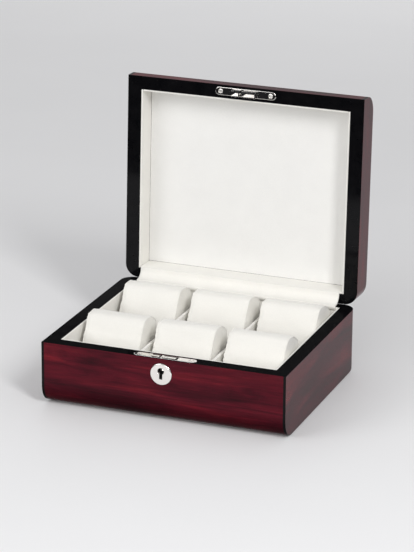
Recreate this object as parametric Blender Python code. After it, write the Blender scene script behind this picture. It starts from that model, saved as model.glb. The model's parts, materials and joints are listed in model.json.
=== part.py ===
"""Six-place watch box: veneered case, hinged lid, cloth hinge strip, cushions and box lock.

All dimensions are in millimetres and are scaled to metres when a mesh is made.
Frame: +Z up, +X to the right, front of the box at -Y, origin at the centre of the
resting face. The lid is modelled closed and turned open about the hinge axis.
"""
import math

import bmesh
import bpy

MM = 0.001

# driving dimensions
WIDTH = 260.0
DEPTH = 220.0
SEAM_Z = 68.0            # height of the hinge axis and of the joint between base and lid
LID_THICKNESS = 31.0
OPEN_ANGLE = 92.36       # lid angle at rest, resting on its stop
FIT_GAP = 0.3            # clearance between neighbouring pieces
EDGE_RADIUS = 20.0       # long edges of the case, front and back
REAR_CORNER_RADIUS = 14.0
ARC_STEPS = 10

END_BOARD = 14.5
FRONT_BOARD = 14.0
REAR_BOARD = 10.2
BOTTOM_BOARD = 6.0
TOP_BOARD = 5.0
FELT_THICKNESS = 0.8
FELT_INSET_X = 9.0

LINER_THICKNESS = 1.7
DIVIDER_THICKNESS = 3.0
DIVIDER_TOP = 57.0
PAD_THICKNESS = 1.9

CUSHION_WIDTH = 64.0
CUSHION_BOTTOM = 9.2

CLOTH_LEFT = -112.0
CLOTH_RIGHT = 111.0
CLOTH_THICKNESS = 0.8

HINGE_X = 70.0
LEAF_LENGTH = 34.0
LEAF_WIDTH = 8.6
LEAF_THICKNESS = 1.0
BARREL_RADIUS = 1.9
BARREL_ROOM = 0.4
LEAF_EDGE = 1.0
LEAF_SCREW_ROW = 3.6
LEAF_SCREW_SPREAD = 11.0
PIN_RADIUS = 0.9
PIN_CLEARANCE = 0.06
SCREW_RADIUS = 1.5

LOCK_X = 1.0
LOCK_Y = -103.0
LOCK_PLATE_LENGTH = 67.0
LOCK_PLATE_WIDTH = 9.0
LOCK_PLATE_THICKNESS = 1.2
LOCK_SCREW_OFFSET = 27.5
LOCK_SCREW_RADIUS = 2.4
SCREW_CLEARANCE = 0.15
SCREW_SUNK = 0.1
HOOK_DEPTH = 6.5
HOOK_WIDTH = 7.0
HOOK_WALL = 1.3
HOOKS = ((-13.6, -4.6), (-1.9, 13.2))
CASE_WALL = 1.0
CASE_HALF_LENGTH = 30.0
CASE_HALF_DEPTH = 5.0
CASE_FOOT = 38.0
BOLT_LIFT = 0.4
BOLT_FACES = (0.2, 1.3)  # distances behind the lock's middle plane
BOLT_BAR_HEIGHT = 5.0

ESCUTCHEON_X = -0.7
ESCUTCHEON_Z = 51.8
ESCUTCHEON_RADIUS = 11.4
ESCUTCHEON_PROUD = 0.9
KEYHOLE_Z = 55.0
KEYHOLE_RADIUS = 3.5
KEYHOLE_SLOT = 1.7
KEYHOLE_BOTTOM = 46.5

# places worked out from them
HALF_X = WIDTH / 2
HALF_Y = DEPTH / 2
HALF_GAP = FIT_GAP / 2
BASE_TOP = SEAM_Z - HALF_GAP
LID_BOTTOM = SEAM_Z + HALF_GAP
LID_TOP = LID_BOTTOM + LID_THICKNESS
INNER_X = HALF_X - END_BOARD
INNER_FRONT = -HALF_Y + FRONT_BOARD
INNER_REAR = HALF_Y - REAR_BOARD
CASE_BOTTOM = FELT_THICKNESS
FLOOR_Z = CASE_BOTTOM + BOTTOM_BOARD
LOCK_SEAT_Z = BASE_TOP - LOCK_PLATE_THICKNESS - FIT_GAP
LID_CEILING = LID_TOP - TOP_BOARD
LINER_X = INNER_X - FIT_GAP
LINER_FRONT = INNER_FRONT + FIT_GAP
LINER_REAR = INNER_REAR - FIT_GAP
CLEAR_X = LINER_X - LINER_THICKNESS
CLEAR_FRONT = LINER_FRONT + LINER_THICKNESS
CLEAR_REAR = LINER_REAR - LINER_THICKNESS
LINING_TOP_Z = FLOOR_Z + FIT_GAP + LINER_THICKNESS
CELL_X = (2 * CLEAR_X - 2 * DIVIDER_THICKNESS) / 3
COLUMN_X = CELL_X / 2 + DIVIDER_THICKNESS / 2
COLUMN_PITCH = CELL_X + DIVIDER_THICKNESS
ROW_Y = (CLEAR_FRONT + CLEAR_REAR) / 2
ROW_OFFSET = (CLEAR_REAR - CLEAR_FRONT + DIVIDER_THICKNESS) / 4


# ---------------------------------------------------------------- helpers

def clear_scene():
    for item in list(bpy.data.objects):
        bpy.data.objects.remove(item, do_unlink=True)


def material(name, colour, roughness, metallic=0.0):
    made = bpy.data.materials.new(name)
    made.use_nodes = True
    shader = made.node_tree.nodes["Principled BSDF"]
    shader.inputs["Base Color"].default_value = (*colour, 1.0)
    shader.inputs["Roughness"].default_value = roughness
    shader.inputs["Metallic"].default_value = metallic
    return made


def add_object(name, mesh, finish=None, parent=None):
    made = bpy.data.objects.new(name, mesh)
    bpy.context.scene.collection.objects.link(made)
    if finish:
        mesh.materials.append(finish)
    if parent:
        made.parent = parent
        made.location = (0, -HALF_Y * MM, -SEAM_Z * MM)
    return made


def mesh_from(name, bm):
    bmesh.ops.recalc_face_normals(bm, faces=bm.faces)
    mesh = bpy.data.meshes.new(name)
    bm.to_mesh(mesh)
    bm.free()
    return mesh


def add_prism(bm, outline, axis, low, high):
    """A closed prism of a 2-D outline, drawn across the axes other than its own."""
    def place(point, along):
        values = list(point)
        values.insert("xyz".index(axis), along)
        return [v * MM for v in values]

    ends = [[bm.verts.new(place(p, along)) for p in outline] for along in (low, high)]
    count = len(outline)
    bm.faces.new(ends[0])
    bm.faces.new(list(reversed(ends[1])))
    for i in range(count):
        j = (i + 1) % count
        bm.faces.new((ends[0][i], ends[1][i], ends[1][j], ends[0][j]))


def prism_mesh(name, outline, axis, low, high):
    bm = bmesh.new()
    add_prism(bm, outline, axis, low, high)
    return mesh_from(name, bm)


def box_mesh(name, low, high):
    outline = ((low[0], low[1]), (high[0], low[1]), (high[0], high[1]), (low[0], high[1]))
    return prism_mesh(name, outline, "z", low[2], high[2])


def piece(name, mesh, finish, parent=None, keep=(), cut=()):
    """A named piece, trimmed to its keep volumes and cut by its cutters."""
    made = add_object(name, mesh, finish, parent)
    for operation, tools in (("INTERSECT", keep), ("DIFFERENCE", cut)):
        for tool in tools:
            step = made.modifiers.new(operation.lower(), "BOOLEAN")
            step.operation = operation
            step.object = tool
            step.solver = "EXACT"
    return made


def cutter(name, mesh, parent=None):
    made = add_object(name, mesh, None, parent)
    made.hide_render = True
    made.display_type = "WIRE"
    return made


def arc(centre, radius, start, end, steps=ARC_STEPS):
    """Points on an arc, angles in degrees, both ends included."""
    points = []
    for i in range(steps + 1):
        angle = math.radians(start + (end - start) * i / steps)
        points.append((centre[0] + radius * math.cos(angle), centre[1] + radius * math.sin(angle)))
    return points


def circle(centre, radius, steps=24):
    return arc(centre, radius, 0, 360, steps)[:-1]


def stadium(centre, length, width, steps=10):
    radius = width / 2
    reach = length / 2 - radius
    right = arc((centre[0] + reach, centre[1]), radius, -90, 90, steps)
    left = arc((centre[0] - reach, centre[1]), radius, 90, 270, steps)
    return right + left


def rectangle(low, high):
    return [(low[0], low[1]), (high[0], low[1]), (high[0], high[1]), (low[0], high[1])]


# ---------------------------------------------------------------- case outlines

def base_section(inset=0.0):
    """Side view of the base in Y and Z, with its rounded lower edges."""
    radius = EDGE_RADIUS - inset
    front = (-HALF_Y + EDGE_RADIUS, CASE_BOTTOM + EDGE_RADIUS)
    rear = (HALF_Y - EDGE_RADIUS, CASE_BOTTOM + EDGE_RADIUS)
    outline = [(-HALF_Y + inset, BASE_TOP)]
    outline += arc(front, radius, 180, 270)
    outline += arc(rear, radius, 270, 360)
    return outline + [(HALF_Y - inset, BASE_TOP)]


def lid_section(inset=0.0):
    """Side view of the closed lid in Y and Z, with its rounded upper edges."""
    radius = EDGE_RADIUS - inset
    rear = (HALF_Y - EDGE_RADIUS, LID_TOP - EDGE_RADIUS)
    front = (-HALF_Y + EDGE_RADIUS, LID_TOP - EDGE_RADIUS)
    outline = [(HALF_Y - inset, LID_BOTTOM)]
    outline += arc(rear, radius, 0, 90)
    outline += arc(front, radius, 90, 180)
    return outline + [(-HALF_Y + inset, LID_BOTTOM)]


def plan_outline():
    """Top view: square front corners and rounded rear corners."""
    reach_x = HALF_X - REAR_CORNER_RADIUS
    reach_y = HALF_Y - REAR_CORNER_RADIUS
    outline = [(-HALF_X, -HALF_Y), (HALF_X, -HALF_Y)]
    outline += arc((reach_x, reach_y), REAR_CORNER_RADIUS, 0, 90)
    return outline + arc((-reach_x, reach_y), REAR_CORNER_RADIUS, 90, 180)


# ---------------------------------------------------------------- the case

def case_volumes(parent, label, section):
    side_view = cutter(label + "_side_view", prism_mesh(label, section(), "x", -HALF_X, HALF_X), parent)
    top_view = cutter(label + "_top_view", prism_mesh(label, plan_outline(), "z", 0, LID_TOP + 1), parent)
    return side_view, top_view


def build_boards(label, z_wall, z_flat, flat_name, finish, parent, volumes, cuts):
    """Two end boards, front and rear boards between them, and the flat board."""
    for side, low, high in (("left", -HALF_X, -INNER_X), ("right", INNER_X, HALF_X)):
        wall = box_mesh(side, (low, -HALF_Y, z_wall[0]), (high, HALF_Y, z_wall[1]))
        piece(f"{label}_{side}_end", wall, finish, parent, volumes)
    reach = INNER_X - FIT_GAP
    for side, low, high in (("front", -HALF_Y, INNER_FRONT), ("rear", INNER_REAR, HALF_Y)):
        wall = box_mesh(side, (-reach, low, z_wall[0]), (reach, high, z_wall[1]))
        piece(f"{label}_{side}_board", wall, finish, parent, volumes[:1], cuts[side])
    low = (-reach, LINER_FRONT, z_flat[0])
    high = (reach, LINER_REAR, z_flat[1])
    piece(flat_name, box_mesh(flat_name, low, high), finish, parent, volumes[:1])


def build_liners(label, low_z, high_z, finish, parent):
    """Four cloth-covered liner boards standing inside the case walls."""
    for side, name in ((-1, "left"), (1, "right")):
        low, high = sorted((side * CLEAR_X, side * LINER_X))
        mesh = box_mesh(name, (low, LINER_FRONT, low_z), (high, LINER_REAR, high_z))
        piece(label + "_liner_" + name, mesh, finish, parent)
    for name, low, high in (("front", LINER_FRONT, CLEAR_FRONT), ("rear", CLEAR_REAR, LINER_REAR)):
        reach = CLEAR_X - FIT_GAP
        mesh = box_mesh(name, (-reach, low, low_z), (reach, high, high_z))
        piece(label + "_liner_" + name, mesh, finish, parent)


# ---------------------------------------------------------------- lock

def keyhole_outline(grow=0.0):
    radius = KEYHOLE_RADIUS + grow
    half = KEYHOLE_SLOT + grow
    meet = math.degrees(math.asin(half / radius))
    outline = arc((ESCUTCHEON_X, KEYHOLE_Z), radius, -90 + meet, 270 - meet, 20)
    bottom = KEYHOLE_BOTTOM - grow
    return outline + [(ESCUTCHEON_X - half, bottom), (ESCUTCHEON_X + half, bottom)]


def hook_room_meshes():
    """U-shaped slots in the lock plate, one for each hook of the strike plate."""
    bm = bmesh.new()
    clear = 0.45
    outer = HOOK_WIDTH / 2 + clear
    inner = HOOK_WIDTH / 2 - HOOK_WALL - clear
    for start, end in HOOKS:
        left = LOCK_X + start - clear
        right = LOCK_X + end + clear
        turn = right - HOOK_WALL - 2 * clear
        outline = [
            (left, LOCK_Y - outer),
            (right, LOCK_Y - outer),
            (right, LOCK_Y + outer),
            (left, LOCK_Y + outer),
            (left, LOCK_Y + inner),
            (turn, LOCK_Y + inner),
            (turn, LOCK_Y - inner),
            (left, LOCK_Y - inner),
        ]
        add_prism(bm, outline, "z", SEAM_Z - 4, SEAM_Z + 1)
    return mesh_from("hook_room", bm)


def add_screws(name, points, radius, low, high, finish, parent=None):
    """Screws sunk just under both faces of their plate, numbered from the left."""
    for number, (x, y) in enumerate(sorted(points), 1):
        outline = circle((x, y), radius, 16)
        mesh = prism_mesh("screw", outline, "z", low + SCREW_SUNK, high - SCREW_SUNK)
        piece(f"{name}_{number}", mesh, finish, parent)


def build_lock(finishes):
    steel, brass, chrome = finishes
    case_low = (LOCK_X - CASE_HALF_LENGTH, LOCK_Y - CASE_HALF_DEPTH, CASE_FOOT)
    case_high = (LOCK_X + CASE_HALF_LENGTH, LOCK_Y + CASE_HALF_DEPTH, LOCK_SEAT_Z)
    inside_low = [v + CASE_WALL for v in case_low]
    inside_high = (case_high[0] - CASE_WALL, case_high[1] - CASE_WALL, case_high[2] + 1)
    hollow = cutter("lock_case_hollow", box_mesh("hollow", inside_low, inside_high))
    key_way = cutter("lock_case_keyway", prism_mesh("keyway", keyhole_outline(0.2), "y", -112, LOCK_Y))
    piece("lock_case", box_mesh("lock_case", case_low, case_high), steel, None, (), (hollow, key_way))

    rear_wall = inside_high[1]
    pin = circle((ESCUTCHEON_X, KEYHOLE_Z), 1.0, 16)
    piece("lock_key_post", prism_mesh("post", pin, "y", LOCK_Y - 2.2, rear_wall - FIT_GAP), brass)

    bar_low = (LOCK_X - 22, inside_low[2] + BOLT_LIFT)
    bar_high = (LOCK_X + 22, bar_low[1] + BOLT_BAR_HEIGHT)
    faces = [LOCK_Y + offset for offset in BOLT_FACES]
    piece("lock_bolt", prism_mesh("lock_bolt", bolt_outline(bar_low, bar_high), "y", *faces), steel)

    slots = cutter("lock_plate_slots", hook_room_meshes())
    plate = stadium((LOCK_X, LOCK_Y), LOCK_PLATE_LENGTH, LOCK_PLATE_WIDTH)
    low = BASE_TOP - LOCK_PLATE_THICKNESS
    screws = [(LOCK_X + s * LOCK_SCREW_OFFSET, LOCK_Y) for s in (-1, 1)]
    hole_radius = LOCK_SCREW_RADIUS + SCREW_CLEARANCE
    holes = screw_holes("lock_screw_holes", screws, hole_radius, low - 1, BASE_TOP + 1)
    piece("lock_plate", prism_mesh("lock_plate", plate, "z", low, BASE_TOP), chrome, None, (), (slots, holes))
    add_screws("lock_plate_screw", screws, LOCK_SCREW_RADIUS, low, BASE_TOP, chrome)

    disc = circle((ESCUTCHEON_X, ESCUTCHEON_Z), ESCUTCHEON_RADIUS, 40)
    hole = cutter("escutcheon_keyhole", prism_mesh("keyhole", keyhole_outline(), "y", -113, -107))
    front = -HALF_Y - ESCUTCHEON_PROUD
    piece("escutcheon", prism_mesh("escutcheon", disc, "y", front, -HALF_Y + 0.6), chrome, None, (), (hole,))


def bolt_outline(bar_low, bar_high):
    """The bolt in X and Z: a bar with one upright finger and nib for each hook."""
    finger_top = SEAM_Z - 3.0
    nib_bottom = finger_top - 1.9
    outline = [bar_low, (bar_high[0], bar_low[1]), bar_high]
    for start, end in reversed(HOOKS):
        nib = LOCK_X + end - HOOK_WALL - 0.5
        back = nib - 4.4
        outline += [(nib - 1.9, bar_high[1]), (nib - 1.9, nib_bottom), (nib, nib_bottom)]
        outline += [(nib, finger_top), (back, finger_top), (back, bar_high[1])]
    return outline + [(bar_low[0], bar_high[1])]


def screw_holes(name, points, radius, low, high, parent=None):
    bm = bmesh.new()
    for x, y in points:
        add_prism(bm, circle((x, y), radius, 16), "z", low, high)
    return cutter(name, mesh_from(name, bm), parent)


def build_strike(finish, parent):
    """The lid's strike plate with its two hook channels and their end walls."""
    plate = stadium((LOCK_X, LOCK_Y), LOCK_PLATE_LENGTH, LOCK_PLATE_WIDTH)
    high = LID_BOTTOM + LOCK_PLATE_THICKNESS
    screws = [(LOCK_X + s * LOCK_SCREW_OFFSET, LOCK_Y) for s in (-1, 1)]
    hole_radius = LOCK_SCREW_RADIUS + SCREW_CLEARANCE
    holes = screw_holes("strike_holes", screws, hole_radius, LID_BOTTOM - 1, high + 1, parent)
    made = piece("strike_plate", prism_mesh("strike_plate", plate, "z", LID_BOTTOM, high), finish, parent)
    half = HOOK_WIDTH / 2
    tip = LID_BOTTOM - HOOK_DEPTH
    for number, (start, end) in enumerate(HOOKS):
        bm = bmesh.new()
        outline = rectangle((LOCK_X + start, LOCK_Y - half), (LOCK_X + end, LOCK_Y + half))
        add_prism(bm, outline, "z", tip, LID_BOTTOM + 0.5)
        block = cutter(f"hook_block_{number}", mesh_from("hook", bm), parent)
        add_boolean(made, block, "UNION")
    for number, (start, end) in enumerate(HOOKS):
        inner = half - HOOK_WALL
        right = LOCK_X + end - HOOK_WALL
        channel = rectangle((LOCK_X + start - 1, LOCK_Y - inner), (right, LOCK_Y + inner))
        mesh = prism_mesh("channel", channel, "z", tip - 1, LID_BOTTOM)
        add_boolean(made, cutter(f"hook_channel_{number}", mesh, parent), "DIFFERENCE")
        window = rectangle((right - 1, LOCK_Y - inner + 0.6), (LOCK_X + end + 1, LOCK_Y + inner - 0.6))
        mesh = prism_mesh("window", window, "z", tip + HOOK_WALL, LID_BOTTOM - 0.6)
        add_boolean(made, cutter(f"hook_window_{number}", mesh, parent), "DIFFERENCE")
    add_boolean(made, holes, "DIFFERENCE")
    add_screws("strike_plate_screw", screws, LOCK_SCREW_RADIUS, LID_BOTTOM, high, finish, parent)


def add_boolean(target, tool, operation):
    step = target.modifiers.new(operation.lower(), "BOOLEAN")
    step.operation = operation
    step.object = tool
    step.solver = "EXACT"


# ---------------------------------------------------------------- hinges

def knuckles(side):
    """The X spans of the base knuckles and of the lid knuckle."""
    centre = side * HINGE_X
    half = LEAF_LENGTH / 2
    third = LEAF_LENGTH / 6
    base = [(centre - half, centre - third - HALF_GAP), (centre + third + HALF_GAP, centre + half)]
    lid = [(centre - third + HALF_GAP, centre + third - HALF_GAP)]
    return base, lid


def build_leaf(name, spans, side, z, finish, parent):
    """A leaf, its knuckles and the bore for the pin."""
    centre = side * HINGE_X
    near = HALF_Y - LEAF_EDGE - LEAF_WIDTH
    low = (centre - LEAF_LENGTH / 2, near, z[0])
    high = (centre + LEAF_LENGTH / 2, HALF_Y - BARREL_RADIUS - FIT_GAP, z[1])
    holes = leaf_screw_places(side)
    hole = screw_holes(name + "_holes", holes, SCREW_RADIUS + SCREW_CLEARANCE, z[0] - 1, z[1] + 1, parent)
    made = piece(name, box_mesh(name, low, high), finish, parent)
    for number, (start, end) in enumerate(spans):
        bm = bmesh.new()
        add_prism(bm, circle((HALF_Y, SEAM_Z), BARREL_RADIUS, 20), "x", start, end)
        barrel = cutter(f"{name}_barrel_{number}", mesh_from("barrel", bm), parent)
        bm = bmesh.new()
        web = rectangle((high[1] - 0.5, z[0]), (HALF_Y, z[1]))
        add_prism(bm, web, "x", start, end)
        link = cutter(f"{name}_web_{number}", mesh_from("web", bm), parent)
        add_boolean(made, link, "UNION")
        add_boolean(made, barrel, "UNION")
    bore = prism_mesh("bore", circle((HALF_Y, SEAM_Z), PIN_RADIUS + PIN_CLEARANCE, 20), "x",
                      centre - LEAF_LENGTH, centre + LEAF_LENGTH)
    add_boolean(made, cutter(name + "_bore", bore, parent), "DIFFERENCE")
    add_boolean(made, hole, "DIFFERENCE")


def leaf_screw_places(side):
    row = HALF_Y - LEAF_EDGE - LEAF_WIDTH + LEAF_SCREW_ROW
    return [(side * HINGE_X + offset, row) for offset in (-LEAF_SCREW_SPREAD, LEAF_SCREW_SPREAD)]


def hinge_rooms(label, z, parent):
    """Mortises for both leaves and barrels, as one cutter."""
    bm = bmesh.new()
    for side in (-1, 1):
        half = LEAF_LENGTH / 2 + FIT_GAP
        start = side * HINGE_X - half
        end = side * HINGE_X + half
        near = HALF_Y - LEAF_EDGE - LEAF_WIDTH - FIT_GAP
        outline = rectangle((start, near), (end, HALF_Y + 3))
        add_prism(bm, outline, "z", z[0], z[1])
    mortise = cutter(label + "_leaf_mortises", mesh_from("mortise", bm), parent)
    bm = bmesh.new()
    for side in (-1, 1):
        half = LEAF_LENGTH / 2 + FIT_GAP
        ring = circle((HALF_Y, SEAM_Z), BARREL_RADIUS + BARREL_ROOM, 20)
        add_prism(bm, ring, "x", side * HINGE_X - half, side * HINGE_X + half)
    barrels = cutter(label + "_barrel_rooms", mesh_from("barrels", bm), parent)
    return [mortise, barrels]


def build_hinges(finish, lid_pivot):
    base_z = (BASE_TOP - LEAF_THICKNESS, BASE_TOP)
    lid_z = (LID_BOTTOM, LID_BOTTOM + LEAF_THICKNESS)
    base_screws = []
    for side, name in ((-1, "left"), (1, "right")):
        base_spans, lid_spans = knuckles(side)
        build_leaf("hinge_base_leaf_" + name, base_spans, side, base_z, finish, None)
        build_leaf("hinge_lid_leaf_" + name, lid_spans, side, lid_z, finish, lid_pivot)
        half = LEAF_LENGTH / 2
        pin = circle((HALF_Y, SEAM_Z), PIN_RADIUS, 20)
        mesh = prism_mesh("pin", pin, "x", side * HINGE_X - half, side * HINGE_X + half)
        piece("hinge_pin_" + name, mesh, finish)
        base_screws += leaf_screw_places(side)
    add_screws("hinge_base_screw", base_screws, SCREW_RADIUS, *base_z, finish)
    add_screws("hinge_lid_screw", base_screws, SCREW_RADIUS, *lid_z, finish, lid_pivot)


# ---------------------------------------------------------------- soft parts

def cushion_outline(centre_y):
    """Side view of a cushion in Y and Z: a plump roll leaning towards the back of its place."""
    foot = CUSHION_BOTTOM
    outline = arc((centre_y + 8, 75), 6, 150, 60, 5)
    outline += arc((centre_y + 32, 62), 10, 70, 0, 5)
    outline += arc((centre_y + 32, foot + 10), 10, 0, -90, 5)
    outline += arc((centre_y - 10, foot + 10), 10, -90, -180, 5)
    return outline + [(centre_y - 20, 40), (centre_y - 14.5, 51), (centre_y - 6.5, 65)]


def build_cushions(finish):
    rows = (("front", ROW_Y - ROW_OFFSET), ("rear", ROW_Y + ROW_OFFSET))
    columns = (("left", -COLUMN_PITCH), ("middle", 0.0), ("right", COLUMN_PITCH))
    half = CUSHION_WIDTH / 2
    for row, centre_y in rows:
        for column, centre_x in columns:
            mesh = prism_mesh("cushion", cushion_outline(centre_y), "x", -half, half)
            made = piece(f"cushion_{row}_{column}", mesh, finish)
            made.location.x = centre_x * MM


def build_hinge_cloth(finish):
    """The cloth web between the lid lining and the base lining, as it hangs with the lid open."""
    lean = math.tan(math.radians(OPEN_ANGLE - 90))
    face = HALF_Y - 0.5
    rise = 11.5
    line = [(face + lean * rise, SEAM_Z + rise)]
    line += arc((face - 10.4, SEAM_Z + 10.6), 10.0, 0, -90, 8)
    line += [(CLEAR_REAR + 0.4, SEAM_Z + 0.6)]
    outer = []
    for i, point in enumerate(line):
        before = line[max(i - 1, 0)]
        after = line[min(i + 1, len(line) - 1)]
        run = math.hypot(after[0] - before[0], after[1] - before[1])
        normal = ((before[1] - after[1]) / run, (after[0] - before[0]) / run)
        outer.append((point[0] - normal[0] * CLOTH_THICKNESS, point[1] - normal[1] * CLOTH_THICKNESS))
    piece("hinge_cloth", prism_mesh("hinge_cloth", line + outer[::-1], "x", CLOTH_LEFT, CLOTH_RIGHT), finish)


def build_dividers(finish):
    """A row divider and two column dividers, half-lapped where they cross."""
    foot = LINING_TOP_Z + FIT_GAP
    middle = (foot + DIVIDER_TOP) / 2
    half = DIVIDER_THICKNESS / 2
    notch = half + FIT_GAP
    reach = CLEAR_X - FIT_GAP
    columns = (-COLUMN_X, COLUMN_X)
    upper = bmesh.new()
    lower = bmesh.new()
    for x in columns:
        outline = rectangle((x - notch, ROW_Y - 5), (x + notch, ROW_Y + 5))
        add_prism(upper, outline, "z", middle - HALF_GAP, DIVIDER_TOP + 1)
        outline = rectangle((x - 5, ROW_Y - notch), (x + 5, ROW_Y + notch))
        add_prism(lower, outline, "z", foot - 1, middle + HALF_GAP)
    upper = cutter("row_divider_notches", mesh_from("notches", upper))
    lower = cutter("column_divider_notches", mesh_from("notches", lower))
    mesh = box_mesh("row_divider", (-reach, ROW_Y - half, foot), (reach, ROW_Y + half, DIVIDER_TOP))
    piece("row_divider", mesh, finish, None, (), (upper,))
    front = CLEAR_FRONT + FIT_GAP
    rear = CLEAR_REAR - FIT_GAP
    for name, x in zip(("left", "right"), columns):
        mesh = box_mesh(name, (x - half, front, foot), (x + half, rear, DIVIDER_TOP))
        piece("column_divider_" + name, mesh, finish, None, (), (lower,))


# ---------------------------------------------------------------- assembly

def plate_seat(name, z, parent):
    length = LOCK_PLATE_LENGTH + 2 * FIT_GAP
    outline = stadium((LOCK_X, LOCK_Y), length, LOCK_PLATE_WIDTH + 2 * FIT_GAP)
    return cutter(name, prism_mesh("seat", outline, "z", z[0], z[1]), parent)


def build_base(finishes):
    veneer, suede, felt = finishes
    half_length = CASE_HALF_LENGTH + FIT_GAP
    half_depth = CASE_HALF_DEPTH + FIT_GAP
    pocket_low = (LOCK_X - half_length, LOCK_Y - half_depth, CASE_FOOT - FIT_GAP)
    pocket_high = (LOCK_X + half_length, LOCK_Y + half_depth, BASE_TOP + 1)
    pocket = cutter("lock_pocket", box_mesh("pocket", pocket_low, pocket_high))
    key_way = cutter("front_keyway", prism_mesh("keyway", keyhole_outline(0.4), "y", -114, LOCK_Y))
    ring = circle((ESCUTCHEON_X, ESCUTCHEON_Z), ESCUTCHEON_RADIUS + FIT_GAP, 40)
    ring = cutter("escutcheon_seat", prism_mesh("seat", ring, "y", -114, -HALF_Y + 0.9))
    plate = plate_seat("lock_plate_seat", (LOCK_SEAT_Z, BASE_TOP + 1), None)
    cuts = {
        "front": (pocket, key_way, ring, plate),
        "rear": hinge_rooms("base", (BASE_TOP - LEAF_THICKNESS - FIT_GAP, BASE_TOP + 1), None),
    }
    wall = (CASE_BOTTOM, BASE_TOP)
    flat = (CASE_BOTTOM, FLOOR_Z)
    volumes = case_volumes(None, "base", base_section)
    build_boards("base", wall, flat, "base_bottom_board", veneer, None, volumes, cuts)
    build_liners("base", FLOOR_Z + FIT_GAP, BASE_TOP, suede, None)
    reach = CLEAR_X - FIT_GAP
    low = (-reach, CLEAR_FRONT + FIT_GAP, FLOOR_Z + FIT_GAP)
    piece("base_liner_floor", box_mesh("floor", low, (reach, CLEAR_REAR - FIT_GAP, LINING_TOP_Z)), suede)
    felt_x = INNER_X - FELT_INSET_X
    felt_y = HALF_Y - EDGE_RADIUS
    sheet = box_mesh("felt", (-felt_x, -felt_y, 0), (felt_x, felt_y, FELT_THICKNESS - 0.1))
    piece("base_felt", sheet, felt)


def build_lid(finishes, pivot):
    veneer, suede = finishes
    seat_top = LID_BOTTOM + LOCK_PLATE_THICKNESS + FIT_GAP
    cuts = {
        "front": (plate_seat("strike_seat", (LID_BOTTOM - 1, seat_top), pivot),),
        "rear": hinge_rooms("lid", (LID_BOTTOM - 1, LID_BOTTOM + LEAF_THICKNESS + FIT_GAP), pivot),
    }
    wall = (LID_BOTTOM, LID_TOP)
    flat = (LID_CEILING, LID_TOP)
    volumes = case_volumes(pivot, "lid", lid_section)
    build_boards("lid", wall, flat, "lid_top_board", veneer, pivot, volumes, cuts)
    build_liners("lid", LID_BOTTOM, LID_CEILING - FIT_GAP, suede, pivot)
    reach = CLEAR_X - FIT_GAP
    low = (-reach, CLEAR_FRONT + FIT_GAP, LID_CEILING - FIT_GAP - PAD_THICKNESS)
    high = (reach, CLEAR_REAR - FIT_GAP, LID_CEILING - FIT_GAP)
    piece("lid_panel_pad", box_mesh("pad", low, high), suede, pivot)


def main():
    clear_scene()
    veneer = material("rosewood_veneer", (0.11, 0.012, 0.016), 0.08)
    suede = material("cream_suede", (0.84, 0.81, 0.75), 0.9)
    felt = material("black_felt", (0.02, 0.02, 0.02), 1.0)
    chrome = material("polished_nickel", (0.82, 0.80, 0.78), 0.12, 1.0)
    steel = material("plated_steel", (0.55, 0.55, 0.55), 0.35, 1.0)

    pivot = bpy.data.objects.new("lid_pivot", None)
    bpy.context.scene.collection.objects.link(pivot)
    pivot.location = (0, HALF_Y * MM, SEAM_Z * MM)
    pivot.rotation_euler = (-math.radians(OPEN_ANGLE), 0, 0)

    build_base((veneer, suede, felt))
    build_dividers(suede)
    build_lock((steel, chrome, chrome))
    build_lid((veneer, suede), pivot)
    build_strike(chrome, pivot)
    build_hinges(steel, pivot)
    build_hinge_cloth(suede)
    build_cushions(suede)


main()
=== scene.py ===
"""Looks of the six-place watch box: gloss veneer, lacquered rims, suede and polished fittings.

Shapes are worked out in millimetres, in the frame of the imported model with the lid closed.
Lid pieces keep their closed coordinates and are turned open as objects.
"""
import json
import math

import bmesh
import bpy
from mathutils import Matrix, Vector, noise
from mathutils.bvhtree import BVHTree


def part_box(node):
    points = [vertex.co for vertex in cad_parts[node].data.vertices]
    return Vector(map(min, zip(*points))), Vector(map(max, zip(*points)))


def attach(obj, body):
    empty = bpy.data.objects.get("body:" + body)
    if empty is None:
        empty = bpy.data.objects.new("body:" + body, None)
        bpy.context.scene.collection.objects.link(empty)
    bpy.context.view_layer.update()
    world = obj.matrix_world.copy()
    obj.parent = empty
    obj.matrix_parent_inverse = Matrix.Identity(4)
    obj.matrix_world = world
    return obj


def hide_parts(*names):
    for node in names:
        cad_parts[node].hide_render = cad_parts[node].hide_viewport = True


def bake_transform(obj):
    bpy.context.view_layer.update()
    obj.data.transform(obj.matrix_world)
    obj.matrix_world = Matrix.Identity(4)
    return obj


MM = 0.001
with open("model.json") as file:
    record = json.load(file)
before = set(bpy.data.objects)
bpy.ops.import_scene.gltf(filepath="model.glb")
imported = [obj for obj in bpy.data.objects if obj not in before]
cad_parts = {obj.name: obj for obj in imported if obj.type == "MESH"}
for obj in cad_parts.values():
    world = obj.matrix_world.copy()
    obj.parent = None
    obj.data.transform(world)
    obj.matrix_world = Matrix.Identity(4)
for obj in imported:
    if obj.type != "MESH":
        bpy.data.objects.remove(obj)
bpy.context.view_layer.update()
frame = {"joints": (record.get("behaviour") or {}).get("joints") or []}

# details finer than the solids, in millimetres
EDGE_RADIUS = 20.0          # long edges of the case, front and back
REAR_CORNER_RADIUS = 14.0
END_FACE_ROUNDING = 1.5
RIM_ROUNDING = 0.5
SEAT_DEPTH = 2.2            # lacquer reaches into the fittings' seats
FINE_STEPS = 30             # steps in each arc of the case
CORNER_BAND = 3.0           # black line down the front corners
CORNER_BAND_REAR = -86.0    # the line is only in front of this Y
FOOT_PAINTED_SHADE = 26.0           # height of the painted shade at the foot
LEAF_POCKET = 1.3           # depth of the hinge leaves' mortises
SEAT_GAP = 0.3              # play round a fitting in its seat
KEYHOLE_RADIUS = 3.5
KEYHOLE_HALF_SLOT = 1.7
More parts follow.
